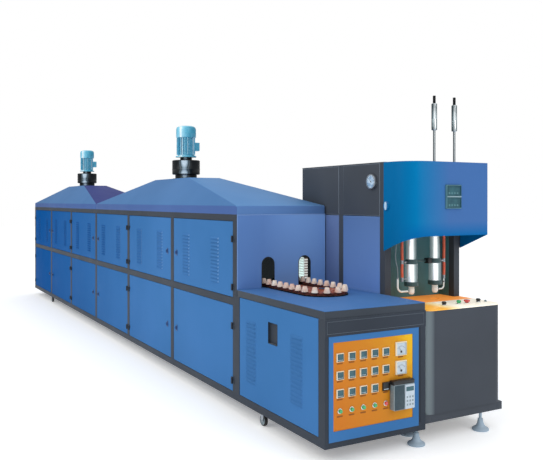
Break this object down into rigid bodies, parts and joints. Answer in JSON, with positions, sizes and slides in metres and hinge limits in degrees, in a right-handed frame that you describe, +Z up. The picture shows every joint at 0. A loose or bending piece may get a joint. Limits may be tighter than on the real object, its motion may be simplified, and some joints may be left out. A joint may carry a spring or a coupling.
{
  "type": "blow moulding machine",
  "caption": "Semi-automatic blow moulding machine: long preform heating oven with return table and control face, and a stretch-blow station beside it.",
  "frame": {"origin": "on the floor, under the centre of the machine's overall box", "axes": "+X along the oven towards the control face, +Y across it from the door side to the blow station, +Z up"},
  "size_m": [8.3634, 1.4042, 2.157],
  "materials": {
    "blue_paint": "powder-coated steel sheet, satin blue",
    "dark_paint": "powder-coated steel tube and sheet, satin charcoal",
    "orange_paint": "orange painted plate",
    "teal_paint": "teal painted cast motor",
    "black_enamel": "glossy black enamel",
    "machined_steel": "ground and machined steel",
    "chrome": "polished hard chrome",
    "foot_paint": "light grey-blue painted casting",
    "ceramic_white": "white glazed ceramic lamp holders",
    "carrier_brown": "red-brown primed chain and wheel",
    "instrument_plastic": "moulded instrument cases",
    "grey_plastic": "moulded inverter case",
    "green_plastic": "moulded push-button cap, green",
    "red_plastic": "moulded push-button cap, red",
    "black_plastic": "moulded push-button cap, black",
    "white_nylon": "turned white nylon",
    "red_hose": "red-orange air hose",
    "caster_rubber": "dark moulded caster tread"
  },
  "bodies": {
    "machine": {"oven_frame": "dark_paint", "drive_sprocket": "machined_steel", "oven_panels": "blue_paint", "end_wall": "blue_paint", "roof_hoods": "blue_paint", "decks": "blue_paint", "table_side_panel": "blue_paint", "heater_banks": "ceramic_white", "fan_housings": "black_enamel", "fan_motors": "teal_paint", "chain_track": "dark_paint", "carrier_chain": "carrier_brown", "chain_drive": "dark_paint", "control_frame": "blue_paint", "control_plate": "orange_paint", "panel_instruments": "instrument_plastic", "inverter": "grey_plastic", "caster_forks": "machined_steel", "levelling_feet": "foot_paint", "station_frame": "dark_paint", "station_panels": "blue_paint", "head_hood": "blue_paint", "head_instruments": "instrument_plastic", "control_desk": "dark_paint", "bed_plate": "orange_paint", "blow_cylinders": "chrome", "air_hoses": "red_hose", "clamp_frame": "machined_steel"},
    "door_upper_1": {"door_upper_1": "blue_paint"},
    "door_lower_1": {"door_lower_1": "blue_paint"},
    "door_upper_2": {"door_upper_2": "blue_paint"},
    "door_lower_2": {"door_lower_2": "blue_paint"},
    "door_upper_3": {"door_upper_3": "blue_paint"},
    "door_lower_3": {"door_lower_3": "blue_paint"},
    "door_upper_4": {"door_upper_4": "blue_paint"},
    "door_lower_4": {"door_lower_4": "blue_paint"},
    "door_upper_5": {"door_upper_5": "blue_paint"},
    "door_lower_5": {"door_lower_5": "blue_paint"},
    "door_upper_6": {"door_upper_6": "blue_paint"},
    "door_lower_6": {"door_lower_6": "blue_paint"},
    "fan_rotor_far": {"fan_rotor_far": "machined_steel"},
    "fan_rotor_near": {"fan_rotor_near": "machined_steel"},
    "return_wheel": {"return_wheel": "carrier_brown"},
    "caster_wheel_1": {"caster_wheel_1": "caster_rubber"},
    "caster_wheel_2": {"caster_wheel_2": "caster_rubber"},
    "caster_wheel_3": {"caster_wheel_3": "caster_rubber"},
    "caster_wheel_4": {"caster_wheel_4": "caster_rubber"},
    "button_green_1": {"button_green_1": "green_plastic"},
    "button_green_2": {"button_green_2": "green_plastic"},
    "button_green_3": {"button_green_3": "green_plastic"},
    "button_green_4": {"button_green_4": "green_plastic"},
    "button_red": {"button_red": "red_plastic"},
    "desk_button_black": {"desk_button_black": "black_plastic"},
    "desk_button_green": {"desk_button_green": "green_plastic"},
    "desk_stop_button": {"desk_stop_button": "red_plastic"},
    "desk_button_cycle": {"desk_button_cycle": "black_plastic"},
    "stretch_rod_left": {"stretch_rod_left": "machined_steel"},
    "stretch_rod_right": {"stretch_rod_right": "machined_steel"},
    "blow_nozzles": {"blow_nozzles": "white_nylon"},
    "moving_platen": {"moving_platen": "machined_steel"}
  },
  "joints": [
    {"name": "door_upper_1_hinge", "type": "hinge", "parent": "machine", "child": "door_upper_1", "pos_m": [-4.09475, -0.69515, 0.791], "axis": [0, 0, -1], "range_deg": [0, 85]},
    {"name": "door_lower_1_hinge", "type": "hinge", "parent": "machine", "child": "door_lower_1", "pos_m": [-4.09475, -0.69515, 0.14], "axis": [0, 0, -1], "range_deg": [0, 85]},
    {"name": "door_upper_2_hinge", "type": "hinge", "parent": "machine", "child": "door_upper_2", "pos_m": [-1.78175, -0.69515, 0.791], "axis": [0, 0, 1], "range_deg": [0, 85]},
    {"name": "door_lower_2_hinge", "type": "hinge", "parent": "machine", "child": "door_lower_2", "pos_m": [-1.78175, -0.69515, 0.14], "axis": [0, 0, 1], "range_deg": [0, 85]},
    {"name": "door_upper_3_hinge", "type": "hinge", "parent": "machine", "child": "door_upper_3", "pos_m": [-1.71475, -0.69515, 0.791], "axis": [0, 0, -1], "range_deg": [0, 85]},
    {"name": "door_lower_3_hinge", "type": "hinge", "parent": "machine", "child": "door_lower_3", "pos_m": [-1.71475, -0.69515, 0.14], "axis": [0, 0, -1], "range_deg": [0, 85]},
    {"name": "door_upper_4_hinge", "type": "hinge", "parent": "machine", "child": "door_upper_4", "pos_m": [0.59825, -0.69515, 0.791], "axis": [0, 0, 1], "range_deg": [0, 85]},
    {"name": "door_lower_4_hinge", "type": "hinge", "parent": "machine", "child": "door_lower_4", "pos_m": [0.59825, -0.69515, 0.14], "axis": [0, 0, 1], "range_deg": [0, 85]},
    {"name": "door_upper_5_hinge", "type": "hinge", "parent": "machine", "child": "door_upper_5", "pos_m": [0.66525, -0.69515, 0.791], "axis": [0, 0, -1], "range_deg": [0, 85]},
    {"name": "door_lower_5_hinge", "type": "hinge", "parent": "machine", "child": "door_lower_5", "pos_m": [0.66525, -0.69515, 0.14], "axis": [0, 0, -1], "range_deg": [0, 85]},
    {"name": "door_upper_6_hinge", "type": "hinge", "parent": "machine", "child": "door_upper_6", "pos_m": [2.97825, -0.69515, 0.791], "axis": [0, 0, 1], "range_deg": [0, 85]},
    {"name": "door_lower_6_hinge", "type": "hinge", "parent": "machine", "child": "door_lower_6", "pos_m": [2.97825, -0.69515, 0.14], "axis": [0, 0, 1], "range_deg": [0, 85]},
    {"name": "fan_far_spin", "type": "hinge", "parent": "machine", "child": "fan_rotor_far", "pos_m": [-2.35925, -0.32785, 1.706], "axis": [0, 0, 1], "continuous": true},
    {"name": "fan_near_spin", "type": "hinge", "parent": "machine", "child": "fan_rotor_near", "pos_m": [1.24275, -0.32785, 1.706], "axis": [0, 0, 1], "continuous": true},
    {"name": "return_wheel_turn", "type": "hinge", "parent": "machine", "child": "return_wheel", "pos_m": [3.51175, -0.29585, 0.86], "axis": [0, 0, 1], "continuous": true},
    {"name": "caster_wheel_1_spin", "type": "hinge", "parent": "machine", "child": "caster_wheel_1", "pos_m": [3.34775, -0.64285, 0.0375], "axis": [0, 1, 0], "continuous": true},
    {"name": "caster_wheel_2_spin", "type": "hinge", "parent": "machine", "child": "caster_wheel_2", "pos_m": [-3.06825, -0.64285, 0.0375], "axis": [0, 1, 0], "continuous": true},
    {"name": "caster_wheel_3_spin", "type": "hinge", "parent": "machine", "child": "caster_wheel_3", "pos_m": [3.34775, -0.01285, 0.0375], "axis": [0, 1, 0], "continuous": true},
    {"name": "caster_wheel_4_spin", "type": "hinge", "parent": "machine", "child": "caster_wheel_4", "pos_m": [-3.06825, -0.01285, 0.0375], "axis": [0, 1, 0], "continuous": true},
    {"name": "button_green_1_press", "type": "slide", "parent": "machine", "child": "button_green_1", "axis": [-1, 0, 0], "range_m": [0, 0.003], "stiffness_N_per_m": 400},
    {"name": "button_green_2_press", "type": "slide", "parent": "machine", "child": "button_green_2", "axis": [-1, 0, 0], "range_m": [0, 0.003], "stiffness_N_per_m": 400},
    {"name": "button_green_3_press", "type": "slide", "parent": "machine", "child": "button_green_3", "axis": [-1, 0, 0], "range_m": [0, 0.003], "stiffness_N_per_m": 400},
    {"name": "button_green_4_press", "type": "slide", "parent": "machine", "child": "button_green_4", "axis": [-1, 0, 0], "range_m": [0, 0.003], "stiffness_N_per_m": 400},
    {"name": "button_red_press", "type": "slide", "parent": "machine", "child": "button_red", "axis": [-1, 0, 0], "range_m": [0, 0.003], "stiffness_N_per_m": 400},
    {"name": "desk_button_black_press", "type": "slide", "parent": "machine", "child": "desk_button_black", "axis": [0, 0, -1], "range_m": [0, 0.003], "stiffness_N_per_m": 400},
    {"name": "desk_button_green_press", "type": "slide", "parent": "machine", "child": "desk_button_green", "axis": [0, 0, -1], "range_m": [0, 0.003], "stiffness_N_per_m": 400},
    {"name": "desk_stop_button_press", "type": "slide", "parent": "machine", "child": "desk_stop_button", "axis": [0, 0, -1], "range_m": [0, 0.003], "stiffness_N_per_m": 400},
    {"name": "desk_button_cycle_press", "type": "slide", "parent": "machine", "child": "desk_button_cycle", "axis": [0, 0, -1], "range_m": [0, 0.003], "stiffness_N_per_m": 400},
    {"name": "stretch_rod_left_stroke", "type": "slide", "parent": "machine", "child": "stretch_rod_left", "axis": [0, 0, -1], "range_m": [0, 0.17]},
    {"name": "stretch_rod_right_stroke", "type": "slide", "parent": "machine", "child": "stretch_rod_right", "axis": [0, 0, -1], "range_m": [0, 0.17]},
    {"name": "blow_nozzles_stroke", "type": "slide", "parent": "machine", "child": "blow_nozzles", "axis": [0, 0, -1], "range_m": [0, 0.025]},
    {"name": "mould_opening", "type": "slide", "parent": "machine", "child": "moving_platen", "axis": [-1, 0, 0], "range_m": [0, 0.15]}
  ]
}
